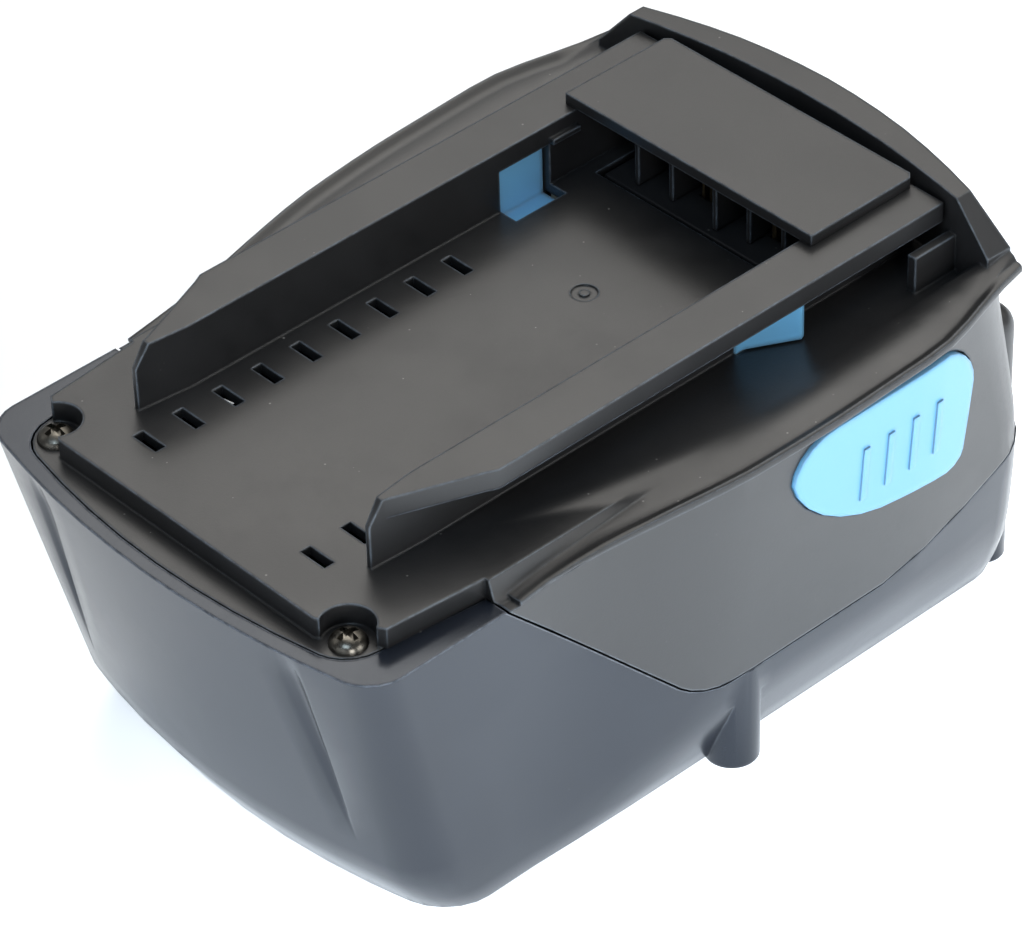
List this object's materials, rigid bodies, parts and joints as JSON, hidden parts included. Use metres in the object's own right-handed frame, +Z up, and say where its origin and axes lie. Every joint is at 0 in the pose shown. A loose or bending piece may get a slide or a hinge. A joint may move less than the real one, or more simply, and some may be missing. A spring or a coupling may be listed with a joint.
{
  "type": "power_tool_battery_pack",
  "caption": "Slide-on battery pack of a cordless power tool: dark two-part housing with rails, terminal bay and two sprung blue side latches.",
  "frame": {"origin": "Middle of the underside, on the surface that the pack stands on.", "axes": "+Y runs from the front rim with its two screws to the back wall, along the rails; +Z is up; +X is the right side seen from the front end looking back."},
  "size_m": [0.0944, 0.1354, 0.0696],
  "materials": {
    "cover_plastic": "fine spark-eroded texture, satin",
    "tub_plastic": "smooth, semi-gloss",
    "latch_plastic": "satin, sky blue",
    "screw_steel": "dull nickel plate",
    "spring_steel": "drawn wire",
    "contact_brass": "tinned brass",
    "cell_sleeve": "heat-shrink sleeve",
    "inner_plastic": "plain moulded",
    "nickel_strip": "rolled nickel",
    "insulating_paper": "fibre paper",
    "board_green": "solder resist",
    "component_black": "moulded epoxy"
  },
  "bodies": {
    "housing": {"lower_housing": "tub_plastic", "upper_housing": "cover_plastic", "terminal_cover": "cover_plastic", "terminal_block": "inner_plastic", "latch_spring_right": "spring_steel", "latch_spring_left": "spring_steel", "front_screws": "screw_steel", "side_tower_screws": "screw_steel", "rear_tower_screws": "screw_steel", "cell_holder_right": "inner_plastic", "cell_holder_left": "inner_plastic", "cell_straps_right": "nickel_strip", "cell_straps_left": "nickel_strip", "insulator_right": "insulating_paper", "insulator_left": "insulating_paper", "board_carrier": "inner_plastic", "control_board": "board_green", "board_components": "component_black", "board_screws": "screw_steel", "power_contacts": "contact_brass", "signal_contacts": "contact_brass", "positive_tab": "nickel_strip", "negative_tab": "nickel_strip", "temperature_sensor": "component_black", "cell_01": "cell_sleeve", "cell_02": "cell_sleeve", "cell_03": "cell_sleeve", "cell_04": "cell_sleeve", "cell_05": "cell_sleeve", "cell_06": "cell_sleeve", "cell_07": "cell_sleeve", "cell_08": "cell_sleeve", "cell_09": "cell_sleeve", "cell_10": "cell_sleeve", "cell_11": "cell_sleeve", "cell_12": "cell_sleeve"},
    "latch_right": {"release_latch_right": "latch_plastic"},
    "latch_left": {"release_latch_left": "latch_plastic"}
  },
  "joints": [
    {"name": "latch_right_press", "type": "slide", "parent": "housing", "child": "latch_right", "axis": [-1, 0, 0], "range_m": [0, 0.004], "stiffness_N_per_m": 600, "springref_m": -0.004, "deforming": ["latch_spring_right"]},
    {"name": "latch_left_press", "type": "slide", "parent": "housing", "child": "latch_left", "axis": [1, 0, 0], "range_m": [0, 0.004], "stiffness_N_per_m": 600, "springref_m": -0.004, "deforming": ["latch_spring_left"]}
  ]
}
